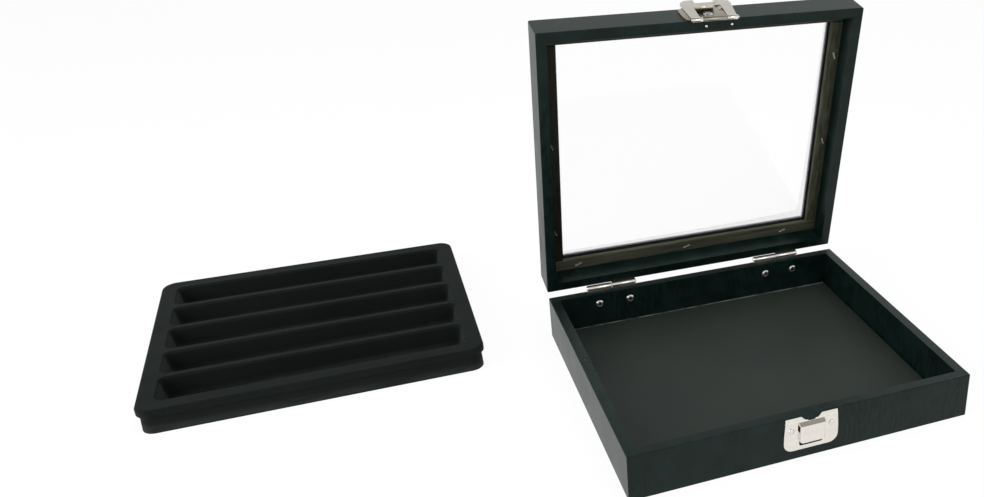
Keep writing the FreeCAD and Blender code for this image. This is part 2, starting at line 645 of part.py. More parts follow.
def hasp_pin():
    """Pin across the hasp's knuckles, headed at both ends."""
    low_x = CLASP_X - HASP_HALF_WIDTH - HASP_PIN_END_PLAY
    high_x = CLASP_X + HASP_HALF_WIDTH + HASP_PIN_END_PLAY
    shank = tube_along_x(HASP_PIN_RADIUS, low_x, high_x, HASP_Y, HASP_Z)
    left = tube_along_x(HASP_PIN_HEAD_RADIUS, low_x - HASP_PIN_HEAD, low_x, HASP_Y, HASP_Z)
    right = tube_along_x(HASP_PIN_HEAD_RADIUS, high_x, high_x + HASP_PIN_HEAD, HASP_Y, HASP_Z)
    return fuse_all([shank, left, right])


def hasp_frame_plate():
    """Flat of the hasp: two limbs that widen to a rounded end, open between the limbs."""
    y = HASP_Y + HASP_SHEET / 2
    end_z = HASP_Z - HASP_LENGTH
    bend = HASP_CORNER * math.sqrt(0.5)
    corner_x = HASP_END_HALF_WIDTH - HASP_CORNER
    corner_z = end_z + HASP_CORNER

    def point(x, z):
        return Vector(CLASP_X + x, y, z)

    edges = [
        Part.LineSegment(point(-HASP_HALF_WIDTH, HASP_Z), point(-HASP_END_HALF_WIDTH, corner_z)),
        Part.Arc(point(-HASP_END_HALF_WIDTH, corner_z), point(-corner_x - bend, corner_z - bend),
                 point(-corner_x, end_z)),
        Part.LineSegment(point(-corner_x, end_z), point(corner_x, end_z)),
        Part.Arc(point(corner_x, end_z), point(corner_x + bend, corner_z - bend),
                 point(HASP_END_HALF_WIDTH, corner_z)),
        Part.LineSegment(point(HASP_END_HALF_WIDTH, corner_z), point(HASP_HALF_WIDTH, HASP_Z)),
        Part.LineSegment(point(HASP_HALF_WIDTH, HASP_Z), point(-HASP_HALF_WIDTH, HASP_Z)),
    ]
    face = Part.Face(Part.Wire([e.toShape() for e in edges]))
    sheet = face.extrude(Vector(0, -HASP_SHEET, 0))
    window = box((CLASP_X - HASP_WINDOW_HALF_WIDTH, HASP_Y - 2, HASP_Z - HASP_WINDOW_END),
                 (CLASP_X + HASP_WINDOW_HALF_WIDTH, HASP_Y + 2, HASP_Z + 2))
    return sheet.cut(window)


def hasp():
    """Hasp, drawn down over the keeper: knuckles, limbs, pressed band and finger grip."""
    eyes = [tube_along_x(HASP_KNUCKLE_RADIUS, CLASP_X + low, CLASP_X + high, HASP_Y, HASP_Z)
            for low, high in ((-HASP_HALF_WIDTH, -TONGUE_HALF_WIDTH - KNUCKLE_PLAY),
                              (TONGUE_HALF_WIDTH + KNUCKLE_PLAY, HASP_HALF_WIDTH))]
    back = HASP_Y - HASP_SHEET / 2 + 0.1
    front = HASP_Y - HASP_SHEET / 2 - HASP_BAND_RISE
    top = HASP_Z - HASP_WINDOW_END
    end = HASP_Z - HASP_LENGTH
    grip_y = HASP_Y - HASP_GRIP_RISE
    band_profile = [
        (back, top),
        (front, top),
        (front, HASP_Z - HASP_BAND_END),
        (grip_y, end + HASP_SHEET),
        (grip_y, end),
        (back, end),
    ]
    band = profile_along_x(band_profile, CLASP_X - HASP_BAND_HALF_WIDTH, CLASP_X + HASP_BAND_HALF_WIDTH)
    recess_profile = [
        (HASP_Y + 1, top - HASP_SHEET),
        (front + HASP_SHEET, top - HASP_SHEET),
        (front + HASP_SHEET, HASP_Z - HASP_BAND_END - 0.3),
        (grip_y + HASP_SHEET * 2, end + HASP_SHEET * 0.4),
        (grip_y + HASP_SHEET * 2, end - 1),
        (HASP_Y + 1, end - 1),
    ]
    half_recess = HASP_BAND_HALF_WIDTH - HASP_SHEET
    recess = profile_along_x(recess_profile, CLASP_X - half_recess, CLASP_X + half_recess)
    reach = HASP_END_HALF_WIDTH
    bore = tube_along_x(HASP_BORE_RADIUS, CLASP_X - reach, CLASP_X + reach, HASP_Y, HASP_Z)
    return fuse_all([hasp_frame_plate(), band] + eyes).cut([recess, bore])


def rounded_rectangle(half_x, half_y, corner, centre_y, z):
    """Closed wire of a rectangle with rounded corners, at a height."""
    bend = corner * (1 - math.sqrt(0.5))
    edges = []
    turns = ((1, -1), (1, 1), (-1, 1), (-1, -1))
    for i, (sx, sy) in enumerate(turns):
        next_x, next_y = turns[(i + 1) % 4]
        along_x = sx * sy > 0
        first = Vector(sx * (half_x - corner), centre_y + sy * half_y, z)
        last = Vector(sx * half_x, centre_y + sy * (half_y - corner), z)
        if along_x:
            first, last = last, first
        middle = Vector(sx * (half_x - bend), centre_y + sy * (half_y - bend), z)
        edges.append(Part.Arc(first, middle, last).toShape())
        if along_x:
            following = Vector(next_x * (half_x - corner), centre_y + next_y * half_y, z)
        else:
            following = Vector(next_x * half_x, centre_y + next_y * (half_y - corner), z)
        edges.append(Part.LineSegment(last, following).toShape())
    return Part.Wire(edges)


def drafted_block(half_x, half_y, corner, centre_y, low_z, high_z, draft):
    """Block that narrows by draft on every side from its top to its bottom."""
    top = rounded_rectangle(half_x, half_y, corner, centre_y, high_z)
    low_corner = max(corner - draft, 0.6)
    bottom = rounded_rectangle(half_x - draft, half_y - draft, low_corner, centre_y, low_z)
    return Part.makeLoft([bottom, top], True, True)


def slot_hollow(half_x, half_y, centre_y):
    """Slot in the tray: drafted walls, and a flared mouth."""
    flare_z = TRAY_HEIGHT - SLOT_FLARE
    low = drafted_block(half_x - SLOT_FLARE, half_y - SLOT_FLARE, SLOT_CORNER, centre_y, TRAY_FLOOR, flare_z, SLOT_DRAFT)
    mouth = drafted_block(half_x, half_y, SLOT_CORNER + SLOT_FLARE, centre_y, flare_z, TRAY_HEIGHT, SLOT_FLARE)
    return low.fuse(mouth)


def slot_shell(half_x, half_y, centre_y):
    """Outside of a slot's walls, seen only from under the tray."""
    corners = []
    for z, draft in ((0, SLOT_DRAFT), (TRAY_HEIGHT - TRAY_SHEET, 0)):
        x = half_x + TRAY_SHEET - SLOT_FLARE - draft
        y = half_y + TRAY_SHEET - SLOT_FLARE - draft
        points = [(-x, centre_y - y, z), (x, centre_y - y, z), (x, centre_y + y, z), (-x, centre_y + y, z)]
        corners.append(Part.makePolygon([Vector(*p) for p in points + points[:1]]))
    return Part.makeLoft(corners, True, True)


def slot_centres():
    """Y of the middle of each slot, and half the slot's width at its mouth."""
    span = TRAY_DEPTH - 2 * SLOT_END_MARGIN
    width = (span - (TRAY_SLOTS - 1) * SLOT_RIDGE) / TRAY_SLOTS
    first = (width - span) / 2
    return [first + i * (width + SLOT_RIDGE) for i in range(TRAY_SLOTS)], width / 2


def insert_tray():
    """Formed tray: rolled lip, splayed skirt, drafted slots, and hollow under its ridges."""
    half_x = TRAY_WIDTH / 2
    half_y = TRAY_DEPTH / 2
    lip = rounded_plate(half_x, half_y, TRAY_CORNER, TRAY_HEIGHT - TRAY_LIP_HEIGHT, TRAY_HEIGHT)
    round_over = edges_at(lip, lambda p: p.z > TRAY_HEIGHT - 0.01)
    lip = lip.makeFillet(TRAY_EDGE_RADIUS, round_over)
    skirt_x = half_x - TRAY_LIP_OUT
    skirt_y = half_y - TRAY_LIP_OUT
    skirt_corner = TRAY_CORNER - TRAY_LIP_OUT
    foot_x = skirt_x + TRAY_SKIRT_SPLAY
    foot_y = skirt_y + TRAY_SKIRT_SPLAY
    foot_corner = skirt_corner + TRAY_SKIRT_SPLAY
    top_z = TRAY_HEIGHT - TRAY_SHEET
    skirt = Part.makeLoft([rounded_rectangle(foot_x, foot_y, foot_corner, 0, 0),
                           rounded_rectangle(skirt_x, skirt_y, skirt_corner, 0, top_z)], True, True)
    hollow = Part.makeLoft([
        rounded_rectangle(foot_x - TRAY_SHEET, foot_y - TRAY_SHEET, foot_corner - TRAY_SHEET, 0, -0.01),
        rounded_rectangle(skirt_x - TRAY_SHEET, skirt_y - TRAY_SHEET, skirt_corner - TRAY_SHEET, 0, top_z),
    ], True, True)
    centres, half_slot = slot_centres()
    slot_x = half_x - SLOT_SIDE_MARGIN
    slots = [slot_hollow(slot_x, half_slot, y) for y in centres]
    shells = [slot_shell(slot_x, half_slot, y) for y in centres]
    body = fuse_all([lip, skirt]).cut(hollow.cut(shells)).cut(slots)
    body.translate(Vector(TRAY_PLACE[0], TRAY_PLACE[1], 0))
    return body


def export(name, shapes, check_solids=1):
    """One STEP per node; identical fasteners share a node as separate solids."""
    whole = Part.makeCompound(shapes) if len(shapes) > 1 else shapes[0]
    solids = whole.Solids
    volume = sum(s.Volume for s in solids)
    state = "ok" if whole.isValid() and len(solids) == check_solids else "CHECK"
    print(f"{name:28s} solids {len(solids)} volume {volume:10.1f} {state}")
    whole.exportStep(f"parts/{name}.step")


def build_base():
    """Everything that stays on the table."""
    for side in SIDE_TURNS:
        board = base_wall(side)
        if side == "front":
            board = board.cut(brad_holes(keeper_brad_places(), Vector(0, -1, 0)))
        export(f"base_{side}_wall", [board])
    export("bottom_panel", [bottom_panel()])
    export("floor_pad", [floor_pad()])
    covering = base_covering().cut(brad_holes(keeper_brad_places(), Vector(0, -1, 0)))
    export("base_covering", [covering])
    export("keeper_plate", [keeper_plate()])
    export("keeper_brads", [brad(p, Vector(0, -1, 0)) for p in keeper_brad_places()], 2)
    for name, centre in zip(("left", "right"), HINGE_CENTRES):
        export(f"hinge_base_leaf_{name}", [hinge_base_leaf(centre)])
        export(f"hinge_pin_{name}", [hinge_pin(centre)])
    export("hinge_rivets", [tubular_rivet(x) for x in rivet_places()], 4)


def build_lid():
    """Everything that swings with the lid, but the hasp."""
    front_holes = brad_holes(lid_plate_brad_places(), Vector(0, -1, 0)) + rim_tack_shanks()
    back_holes = brad_holes(lid_hinge_brad_places(), Vector(0, 1, 0))
    for side in SIDE_TURNS:
        holes = {"front": front_holes, "back": back_holes}.get(side, [])
        staples = retainer_staples(side)
        rail = lid_rail(side).cut(staples + holes)
        export(f"lid_{side}_rail", [opened(rail)])
        strip = retainer(side).cut(staples)
        export(f"retainer_{side}", [opened(strip)])
        export(f"retainer_staples_{side}", [opened(s) for s in staples], len(staples))
    covering = lid_covering().cut(front_holes + back_holes)
    export("lid_covering", [opened(covering)])
    export("window_glass", [opened(window_glass())])
    export("lid_clasp_plate", [opened(lid_clasp_plate())])
    low, *high = lid_plate_brad_places()
    brads = [brad(low, Vector(0, -1, 0), LID_RIVET_RADIUS)] + [brad(p, Vector(0, -1, 0)) for p in high]
    export("lid_clasp_brads", [opened(b) for b in brads], 3)
    export("clasp_rim_tacks", [opened(tack) for tack in rim_tacks()], 2)
    export("hasp_pin", [opened(hasp_pin())])
    for name, centre in zip(("left", "right"), HINGE_CENTRES):
        leaf = hinge_lid_leaf(centre).cut(back_holes)
        export(f"hinge_lid_leaf_{name}", [opened(leaf)])
    hinge_brads = [brad(p, Vector(0, 1, 0)) for p in lid_hinge_brad_places()]
    export("lid_hinge_brads", [opened(b) for b in hinge_brads], 4)


def main():
    """Build every node and print the fits that the object depends on."""
    os.makedirs("parts", exist_ok=True)
    build_base()
    build_lid()
    export("hasp", [opened(lifted(hasp()))])
    export("insert_tray", [insert_tray()])
    side_play = INNER_HALF_WIDTH - COVER - TRAY_WIDTH / 2
    end_play = INNER_HALF_DEPTH - COVER - TRAY_DEPTH / 2
    print(f"tray play in the base: {side_play:.2f} mm at each side, {end_play:.2f} mm front and back")


main()
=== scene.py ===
"""Dresses the glass-topped specimen case: finishes, one strip of trim, floor, light and camera."""

import logging
import math
from dataclasses import dataclass
from enum import Enum
from typing import Iterable

import bmesh
import bpy
from mathutils import Matrix, Vector


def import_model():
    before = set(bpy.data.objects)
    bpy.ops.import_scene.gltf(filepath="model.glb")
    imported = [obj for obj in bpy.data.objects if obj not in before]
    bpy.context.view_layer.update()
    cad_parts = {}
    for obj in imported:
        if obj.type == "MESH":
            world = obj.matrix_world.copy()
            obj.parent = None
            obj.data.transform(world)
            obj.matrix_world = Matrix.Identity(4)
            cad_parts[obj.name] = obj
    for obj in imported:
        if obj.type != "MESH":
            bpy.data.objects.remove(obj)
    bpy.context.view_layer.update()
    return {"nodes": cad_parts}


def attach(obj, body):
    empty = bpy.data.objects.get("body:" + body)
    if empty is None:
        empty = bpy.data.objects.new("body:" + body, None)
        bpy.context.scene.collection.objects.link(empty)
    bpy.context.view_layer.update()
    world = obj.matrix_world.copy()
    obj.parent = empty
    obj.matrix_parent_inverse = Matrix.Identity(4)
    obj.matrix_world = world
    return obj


log = logging.getLogger("specimen_case")

Colour = tuple[float, float, float]
Place = tuple[float, float, float]
Factors = tuple[float, float, float]
Band = tuple[float, float]
Pair = tuple[float, float]
Constant = float | tuple[float, ...]
Nodes = dict[str, bpy.types.Object]
Socket = bpy.types.NodeSocket
Tree = bpy.types.NodeTree

MM = 0.001
WHITE = (1.0, 1.0, 1.0, 1.0)
EVEN = (1.0, 1.0, 1.0)
MIDDLE = 0.5
WELD_DISTANCE = 1e-6
SHARP_ANGLE = math.radians(40)


class Axis(Enum):
    """The world's axes. With the lid standing, a strip's grain runs along one of them."""

    WIDTH = 0
    DEPTH = 1
    HEIGHT = 2


STRIP_RUNS = {
    "front": Axis.WIDTH,
    "right": Axis.HEIGHT,
    "back": Axis.WIDTH,
    "left": Axis.HEIGHT,
}


@dataclass(frozen=True)
class Grain:
    """Noise: cells per metre, octaves, how much finer along each axis, weight of fine octaves."""

    scale: float
    detail: float
    stretch: Factors = EVEN
    rough: float = 0.55


@dataclass(frozen=True)
class Shades:
    """Two colours, and the band of a value over which the dark one turns into the light one."""

    dark: Colour
    light: Colour
    band: Band = (0.35, 0.65)


@dataclass(frozen=True)
class Relief:
    """Bump: the height of a full step in metres, and how strongly it shows."""

    depth: float
    strength: float


def node_input(node: bpy.types.Node, name: str, value: Constant) -> None:
    """Set one socket of a shader node to a constant.

    Args:
        node: the node.
        name: the socket's name.
        value: a number, a colour of four numbers, or a factor for each axis.
    """
    node.inputs[name].default_value = value


def new_material(name: str) -> tuple[bpy.types.Material, bpy.types.Node]:
    """Make a node material that holds a Principled shader.

    Args:
        name: the material's name.

    Returns:
        The material and its Principled node.
    """
    material = bpy.data.materials.new(name)
    material.use_nodes = True
    return material, material.node_tree.nodes["Principled BSDF"]


def math_node(tree: Tree, operation: str, first: Socket | float, second: Socket | float) -> Socket:
    """Add a Math node.

    Args:
        tree: the node tree.
        operation: Blender's name of the operation.
        first: a socket or a number.
        second: a socket or a number.

    Returns:
        The node's output.
    """
    node = tree.nodes.new("ShaderNodeMath")
    node.operation = operation
    for index, value in enumerate((first, second)):
        if isinstance(value, Socket):
            tree.links.new(value, node.inputs[index])
        else:
            node.inputs[index].default_value = value
    return node.outputs[0]


def span(tree: Tree, value: Socket, band: Band) -> Socket:
    """Map a value from 0..1 to a band.

    Args:
        tree: the node tree.
        value: the value to map.
        band: results at 0 and at 1.

    Returns:
        The mapped value.
    """
    low, high = band
    return math_node(tree, "ADD", math_node(tree, "MULTIPLY", value, high - low), low)


def remap(tree: Tree, value: Socket, band: Band, result: Band = (0.0, 1.0)) -> Socket:
    """Map a band of a value to a result, and hold the result outside the band.

    Args:
        tree: the node tree.
        value: the value to map.
        band: where the change starts and ends.
        result: results at the start and at the end.

    Returns:
        The mapped value.
    """
    node = tree.nodes.new("ShaderNodeMapRange")
    for name, number in zip(("From Min", "From Max", "To Min", "To Max"), (*band, *result)):
        node_input(node, name, number)
    tree.links.new(value, node.inputs["Value"])
    return node.outputs[0]


def stretched(tree: Tree, stretch: Factors = EVEN) -> Socket:
    """Object coordinates, scaled along each axis.

    Args:
        tree: the material's node tree.
        stretch: factor for each axis.

    Returns:
        The scaled coordinates.
    """
    coordinates = tree.nodes.new("ShaderNodeTexCoord")
    mapping = tree.nodes.new("ShaderNodeMapping")
    node_input(mapping, "Scale", stretch)
    tree.links.new(coordinates.outputs["Object"], mapping.inputs["Vector"])
    return mapping.outputs[0]


def height_of(tree: Tree, vector: Socket) -> Socket:
    """Take the vertical part of a vector.

    Args:
        tree: the node tree.
        vector: the vector.

    Returns:
        Its vertical part.
    """
    split = tree.nodes.new("ShaderNodeSeparateXYZ")
    tree.links.new(vector, split.inputs[0])
    return split.outputs["Z"]


def noise(tree: Tree, grain: Grain) -> Socket:
    """Add noise in the object's own coordinates.

    Args:
        tree: the material's node tree.
        grain: the noise.

    Returns:
        The noise value, from 0 to 1.
    """
    texture = tree.nodes.new("ShaderNodeTexNoise")
    node_input(texture, "Scale", grain.scale)
    node_input(texture, "Detail", grain.detail)
    node_input(texture, "Roughness", grain.rough)
    tree.links.new(stretched(tree, grain.stretch), texture.inputs["Vector"])
    return texture.outputs[0]


def pebbles(tree: Tree, scale: float, smoothness: float) -> Socket:
    """Add rounded cells in the object's own coordinates.

    Args:
        tree: the material's node tree.
        scale: cells per metre.
        smoothness: how far neighbouring cells melt into each other, from 0 to 1.

    Returns:
        The distance from the nearest cell's centre.
    """
    texture = tree.nodes.new("ShaderNodeTexVoronoi")
    texture.feature = "SMOOTH_F1"
    node_input(texture, "Scale", scale)
    node_input(texture, "Smoothness", smoothness)
    tree.links.new(stretched(tree), texture.inputs["Vector"])
    return texture.outputs["Distance"]


def colour_mix(tree: Tree, factor: Socket, shades: Shades) -> Socket:
    """Colour ramp between two colours.

    Args:
        tree: the material's node tree.
        factor: the value that drives the ramp.
        shades: the two colours and the band.

    Returns:
        The mixed colour.
    """
    ramp = tree.nodes.new("ShaderNodeValToRGB")
    steps = zip(ramp.color_ramp.elements, shades.band, (shades.dark, shades.light))
    for element, position, colour in steps:
        element.position = position
        element.color = (*colour, 1)
    tree.links.new(factor, ramp.inputs[0])
    return ramp.outputs[0]


def colour_blend(tree: Tree, factor: Socket, first: Socket, second: Socket) -> Socket:
    """Blend two colours.

    Args:
        tree: the material's node tree.
        factor: 0 for the first colour, 1 for the second.
        first: the first colour.
        second: the second colour.

    Returns:
        The blended colour.
    """
    blend = tree.nodes.new("ShaderNodeMix")
    blend.data_type = "RGBA"
    by_kind = {socket.identifier: socket for socket in blend.inputs}
    tree.links.new(factor, by_kind["Factor_Float"])
    tree.links.new(first, by_kind["A_Color"])
    tree.links.new(second, by_kind["B_Color"])
    return next(socket for socket in blend.outputs if socket.identifier == "Result_Color")


def bump(tree: Tree, height: Socket, relief: Relief, under: Socket | None = None) -> Socket:
    """Add a bump.

    Args:
        tree: the material's node tree.
        height: the height, from 0 to 1.
        relief: its depth and strength.
        under: the normal of a coarser bump below this one.

    Returns:
        The bent normal.
    """
    node = tree.nodes.new("ShaderNodeBump")
    node_input(node, "Strength", relief.strength)
    node_input(node, "Distance", relief.depth)
    tree.links.new(height, node.inputs["Height"])
    if under is not None:
        tree.links.new(under, node.inputs["Normal"])
    return node.outputs[0]


def seen_directly(tree: Tree) -> Socket:
    """Tell the camera's own rays, and those that mirrors and glass send on, from the others.

    Args:
        tree: a material's or the world's node tree.

    Returns:
        1 for these rays, else 0.
    """
    rays = tree.nodes.new("ShaderNodeLightPath").outputs
    passed_on = math_node(tree, "MAXIMUM", rays["Is Glossy Ray"], rays["Is Transmission Ray"])
    return math_node(tree, "MAXIMUM", rays["Is Camera Ray"], passed_on)


@dataclass(frozen=True)
class GrainedCloth:
    """Thin grained cloth, rolled over board, a greenish black with a soft shine."""

    name: str = "case_cloth"
    shades: Shades = Shades((0.0016, 0.0068, 0.0056), (0.0054, 0.0160, 0.0136))
    ground: Grain = Grain(70, 5)
    shine: float = 0.20
    shine_tint: Colour = (0.88, 1.0, 0.96)
    roughness: Band = (0.28, 0.42)
    pebble_scale: float = 1300
    pebble_smoothness: float = 0.6
    pebble_relief: Relief = Relief(0.00005, 0.35)
    strokes: Grain = Grain(620, 3, (1.0, 1.0, 0.16), 0.6)
    stroke_relief: Relief = Relief(0.00040, 0.6)
    stroke_tone: float = 2.2
    sweep: Grain = Grain(26, 2)
    sweep_band: Band = (0.46, 0.62)
    wave: Grain = Grain(40, 2)
    wave_relief: Relief = Relief(0.0003, 0.2)

    def build(self) -> bpy.types.Material:
        """Make the material: fine pebbles, with patches of long embossed strokes.

        Returns:
            The material.
        """
        material, shader = new_material(self.name)
        tree = material.node_tree
        tone = noise(tree, self.ground)
        centred = math_node(tree, "SUBTRACT", noise(tree, self.strokes), MIDDLE)
        sweep = remap(tree, noise(tree, self.sweep), self.sweep_band)
        pressed = math_node(tree, "MULTIPLY", centred, sweep)
        stroke_tone = math_node(tree, "MULTIPLY", pressed, self.stroke_tone)
        stained = math_node(tree, "ADD", tone, stroke_tone)
        tree.links.new(colour_mix(tree, stained, self.shades), shader.inputs["Base Color"])
        tree.links.new(span(tree, tone, self.roughness), shader.inputs["Roughness"])
        waved = bump(tree, noise(tree, self.wave), self.wave_relief)
        embossed = bump(tree, pressed, self.stroke_relief, waved)
        cells = pebbles(tree, self.pebble_scale, self.pebble_smoothness)
        grained = bump(tree, cells, self.pebble_relief, embossed)
        tree.links.new(grained, shader.inputs["Normal"])
        node_input(shader, "Specular IOR Level", self.shine)
        node_input(shader, "Specular Tint", (*self.shine_tint, 1))
        return material


@dataclass(frozen=True)
class FloorBoard:
    """Smooth dark paper over thin foam board."""

    name: str = "floor_paper"
    shades: Shades = Shades((0.0200, 0.0260, 0.0225), (0.0275, 0.0335, 0.0290), (0.3, 0.7))
    mottle: Grain = Grain(14, 3)
    tooth: Grain = Grain(2400, 3)
    relief: Relief = Relief(0.00002, 0.3)
    roughness: Band = (0.46, 0.60)
    shine: float = 0.24

    def build(self) -> bpy.types.Material:
        """Make the material: even, faintly mottled, with a fine tooth.

        Returns:
            The material.
        """
        material, shader = new_material(self.name)
        tree = material.node_tree
        mottle = noise(tree, self.mottle)
        tooth = noise(tree, self.tooth)
        tree.links.new(colour_mix(tree, mottle, self.shades), shader.inputs["Base Color"])
        tree.links.new(span(tree, tooth, self.roughness), shader.inputs["Roughness"])
        tree.links.new(bump(tree, tooth, self.relief), shader.inputs["Normal"])
        node_input(shader, "Specular IOR Level", self.shine)
        return material


@dataclass(frozen=True)
class StainedStrip:
    """Small softwood strip, stained a dark olive brown, with its grain along it."""

    name: str
    along: Axis
    shades: Shades = Shades((0.034, 0.037, 0.024), (0.115, 0.118, 0.084), (0.3, 0.7))
    drawn_out: float = 0.06
    streak_scale: float = 420
    streak_detail: float = 6
    streak_rough: float = 0.65
    pore_scale: float = 1500
    pore_detail: float = 3
    relief: Relief = Relief(0.00008, 0.5)
    roughness: Band = (0.38, 0.60)
    shine: float = 0.12

    def build(self) -> bpy.types.Material:
        """Make the material: long pores and streaks along one axis.

        Returns:
            The material.
        """
        material, shader = new_material(self.name)
        tree = material.node_tree
        stretch = tuple(self.drawn_out if axis == self.along else 1.0 for axis in Axis)
        streaks = Grain(self.streak_scale, self.streak_detail, stretch, self.streak_rough)
        tone = noise(tree, streaks)
        pores = noise(tree, Grain(self.pore_scale, self.pore_detail, stretch))
        tree.links.new(colour_mix(tree, tone, self.shades), shader.inputs["Base Color"])
        tree.links.new(span(tree, tone, self.roughness), shader.inputs["Roughness"])
        tree.links.new(bump(tree, pores, self.relief), shader.inputs["Normal"])
        node_input(shader, "Specular IOR Level", self.shine)
        return material


@dataclass(frozen=True)
class PressedFibre:
    """Matte board or paper of pressed fibres, with one fleck for its colour and its relief."""

    name: str
    shades: Shades
    fleck: Grain
    relief: Relief
    roughness: float

    def build(self) -> bpy.types.Material:
        """Make the material: fibrous, uneven and matte.

        Returns:
            The material.
        """
        material, shader = new_material(self.name)
        tree = material.node_tree
        fleck = noise(tree, self.fleck)
        tree.links.new(colour_mix(tree, fleck, self.shades), shader.inputs["Base Color"])
        tree.links.new(bump(tree, fleck, self.relief), shader.inputs["Normal"])
        node_input(shader, "Roughness", self.roughness)
        return material


@dataclass(frozen=True)
class Flock:
    """Short flocked pile on the formed tray, green-black, that pales at a low angle."""

    name: str = "flocked_tray"
    shades: Shades = Shades((0.0026, 0.0044, 0.0038), (0.0066, 0.0094, 0.0084), (0.38, 0.62))
    # Painted sheen: a paler, streaky colour for the low slot floors, where light catches the pile,
    # and the heights over which it fades out.
    painted_sheen_shades: Shades = Shades((0.0115, 0.0150, 0.0135), (0.0340, 0.0400, 0.0375))
    painted_sheen_band: Band = (0.0020, 0.0060)
    patches: Grain = Grain(28, 5, (0.35, 1.2, 1.0), 0.62)
    patch_share: float = 0.75
    patch_relief: Relief = Relief(0.0003, 0.3)
    pile: Grain = Grain(3400, 2)
    pile_relief: Relief = Relief(0.00012, 0.6)
    streaks: Grain = Grain(240, 5, (0.13, 1.2, 1.0), 0.66)
    roughness: float = 0.92
    shine: float = 0.22
    sheen: float = 0.07
    sheen_roughness: float = 0.42
    sheen_tint: Colour = (0.78, 0.90, 0.88)

    def build(self) -> bpy.types.Material:
        """Make the material: matte pile with a velvet edge, and a painted streaky sheen that makes
        it paler low down.

        Returns:
            The material.
        """
        material, shader = new_material(self.name)
        tree = material.node_tree
        patch = noise(tree, self.patches)
        pile = noise(tree, self.pile)
        patch_part = math_node(tree, "MULTIPLY", patch, self.patch_share)
        pile_part = math_node(tree, "MULTIPLY", pile, 1 - self.patch_share)
        pile_tone = colour_mix(tree, math_node(tree, "ADD", patch_part, pile_part), self.shades)
        # Painted sheen: below the band the colour turns to the paler streaky one, which stands in
        # for light caught on the slot floors.
        painted_sheen = colour_mix(tree, noise(tree, self.streaks), self.painted_sheen_shades)
        low = remap(tree, height_of(tree, stretched(tree)), self.painted_sheen_band, (1.0, 0.0))
        tree.links.new(colour_blend(tree, low, pile_tone, painted_sheen), shader.inputs["Base Color"])
        patched = bump(tree, patch, self.patch_relief)
        tree.links.new(bump(tree, pile, self.pile_relief, patched), shader.inputs["Normal"])
        node_input(shader, "Roughness", self.roughness)
        node_input(shader, "Specular IOR Level", self.shine)
        node_input(shader, "Sheen Weight", self.sheen)
        node_input(shader, "Sheen Roughness", self.sheen_roughness)
        node_input(shader, "Sheen Tint", (*self.sheen_tint, 1))
        return material


@dataclass(frozen=True)
class BrightMetal:
    """Thin nickel plate, warm and bright, with faint rolling marks and soft dents."""

    name: str = "nickel_plate"
    colour: Colour = (0.80, 0.765, 0.70)
    roughness: Band = (0.13, 0.20)
    marks: Factors = (1.0, 0.12, 1.0)
    dulled: float = 0.93
    cloud: Grain = Grain(190, 3)
    cloud_band: Band = (0.3, 0.7)
    scratch_scale: float = 5200
    scratch_detail: float = 3
    scratch_relief: Relief = Relief(0.000006, 0.2)
    wave: Grain = Grain(130, 2)
    wave_relief: Relief = Relief(0.00010, 0.5)

    def build(self) -> bpy.types.Material:
        """Make the material: uneven gloss, fine scratches along the sheet, a slight waviness.

        Returns:
            The material.
        """
        material, shader = new_material(self.name)
        tree = material.node_tree
        cloud = noise(tree, self.cloud)
        darkened = tuple(self.dulled * channel for channel in self.colour)
        shades = Shades(darkened, self.colour, self.cloud_band)
        tree.links.new(colour_mix(tree, cloud, shades), shader.inputs["Base Color"])
        tree.links.new(span(tree, cloud, self.roughness), shader.inputs["Roughness"])
        wavy = bump(tree, noise(tree, self.wave), self.wave_relief)
        scratch = noise(tree, Grain(self.scratch_scale, self.scratch_detail, self.marks))
        tree.links.new(bump(tree, scratch, self.scratch_relief, wavy), shader.inputs["Normal"])
        node_input(shader, "Metallic", 1.0)
        return material


@dataclass(frozen=True)
class ClearGlass:
    """Window pane: clear and thin-looking, with a faint green tint."""

    name: str = "window_pane"
    tint: Colour = (0.985, 0.995, 0.990)
    cover: float = 0.22
    bend: float = 1.46
    dust: Grain = Grain(45, 3)
    roughness: Band = (0.0, 0.02)

    def build(self) -> bpy.types.Material:
        """Make the material: mostly see-through, with a weak sharp reflection and a little dust.

        Returns:
            The material.
        """
        material, shader = new_material(self.name)
        tree = material.node_tree
        dust = noise(tree, self.dust)
        tree.links.new(span(tree, dust, self.roughness), shader.inputs["Roughness"])
        node_input(shader, "Base Color", (*self.tint, 1))
        node_input(shader, "IOR", self.bend)
        node_input(shader, "Transmission Weight", 1.0)
        node_input(shader, "Alpha", self.cover)
        return material


@dataclass(frozen=True)
class PlainFloor:
    """Matte white floor, which shows white and keeps a soft shadow."""

    name: str = "white_sweep"
    colour: Colour = (0.80, 0.80, 0.80)
    roughness: float = 0.9
    lift: float = 1.04
    share: float = 0.90

    def build(self) -> bpy.types.Material:
        """Make the material: matte white, lifted for the camera, mirrors and glass.

        Returns:
            The material.
        """
        material, shader = new_material(self.name)
        tree = material.node_tree
        node_input(shader, "Base Color", (*self.colour, 1))
        node_input(shader, "Roughness", self.roughness)
        node_input(shader, "Specular IOR Level", 0.0)
        white = tree.nodes.new("ShaderNodeEmission")
        node_input(white, "Color", WHITE)
        node_input(white, "Strength", self.lift)
        blend = tree.nodes.new("ShaderNodeMixShader")
        lifted = math_node(tree, "MULTIPLY", seen_directly(tree), self.share)
        for socket, source in zip(blend.inputs, (lifted, shader.outputs[0], white.outputs[0])):
            tree.links.new(source, socket)
        tree.links.new(blend.outputs[0], tree.nodes["Material Output"].inputs["Surface"])
        return material


